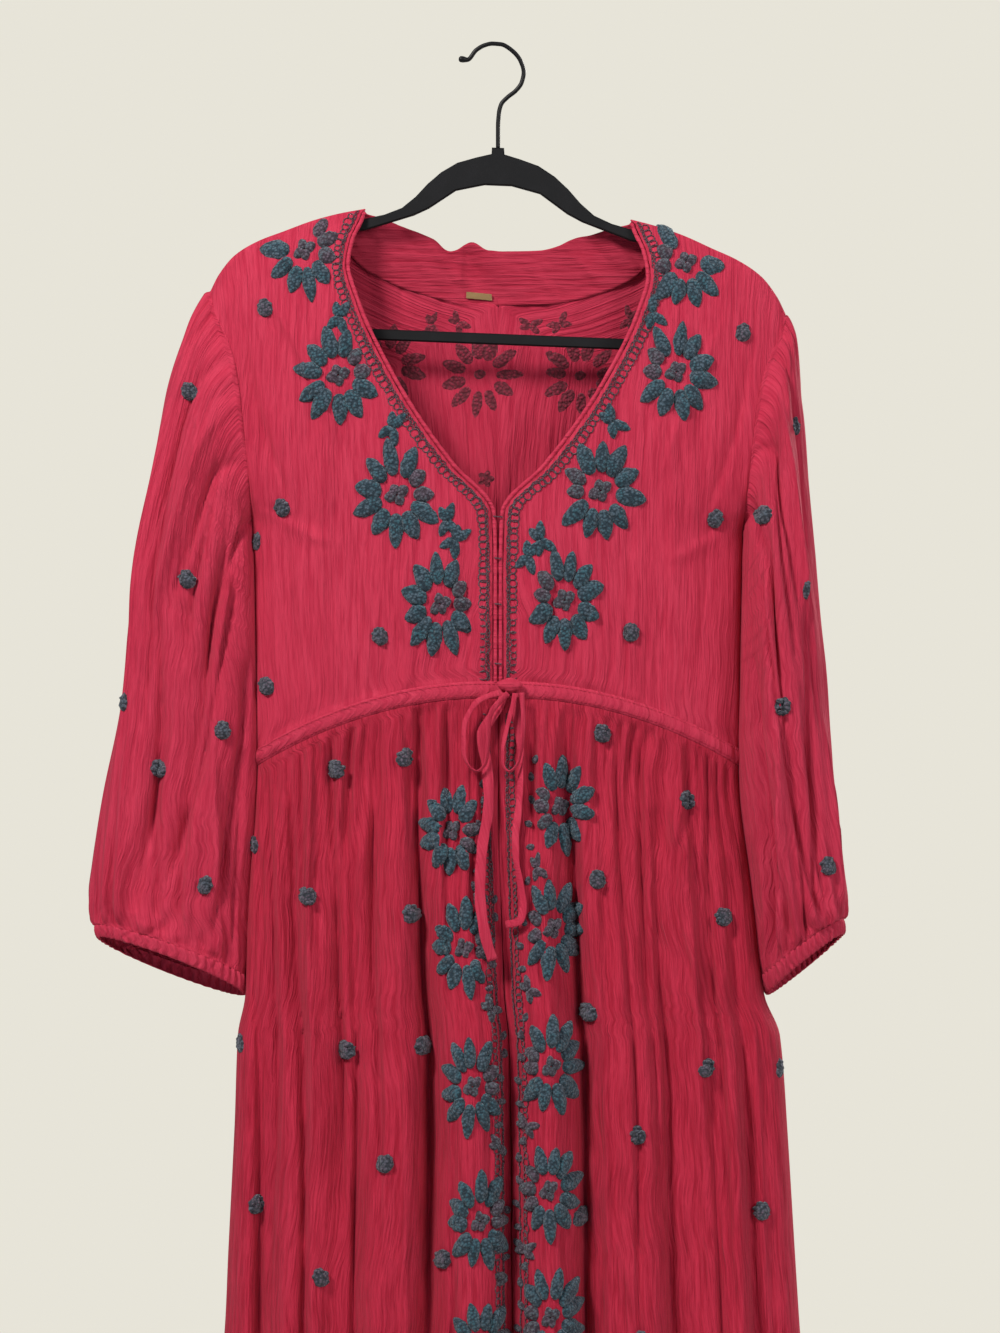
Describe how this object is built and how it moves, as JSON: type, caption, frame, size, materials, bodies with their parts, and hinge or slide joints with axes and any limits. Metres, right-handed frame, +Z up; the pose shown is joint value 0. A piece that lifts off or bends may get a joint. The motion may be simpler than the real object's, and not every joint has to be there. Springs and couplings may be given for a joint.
{
  "type": "midi dress on a hanger",
  "caption": "Midi dress of crinkled gauze with embroidered borders, a V neck, a drawstring waist and gathered three-quarter sleeves, held by a slim hanger.",
  "frame": {"origin": "under the top of the hanger's hook, where a rod or peg holds it", "axes": "+Z up, the dress's front faces -Y, and its left sleeve in the picture is at -X"},
  "size_m": [0.5608, 0.188, 1.3735],
  "materials": {
    "red_gauze": "matte crinkled gauze",
    "tie_cloth": "matte narrow cloth tube",
    "embroidery_yarn": "matte wool-like yarn",
    "hanger_plastic": "soft black coating",
    "hook_wire": "satin black wire",
    "label_weave": "woven with a metallic thread"
  },
  "bodies": {
    "root": {"back_collar": "red_gauze", "bodice_back": "red_gauze", "bodice_front_left": "red_gauze", "bodice_front_right": "red_gauze", "cuff_left": "red_gauze", "cuff_right": "red_gauze", "hanger_body": "hanger_plastic", "hanger_hook": "hook_wire", "hook_and_eye_1": "tie_cloth", "hook_and_eye_2": "tie_cloth", "hook_and_eye_3": "tie_cloth", "hook_and_eye_4": "tie_cloth", "neck_binding_left": "red_gauze", "neck_binding_right": "red_gauze", "skirt_back": "red_gauze", "skirt_front_left": "red_gauze", "skirt_front_right": "red_gauze", "sleeve_left": "red_gauze", "sleeve_right": "red_gauze", "tie_knot": "tie_cloth", "tie_loop_left": "tie_cloth", "tie_loop_right": "tie_cloth", "tie_tail_left": "tie_cloth", "tie_tail_right": "tie_cloth", "waist_casing": "red_gauze", "woven_label": "label_weave"}
  },
  "joints": []
}
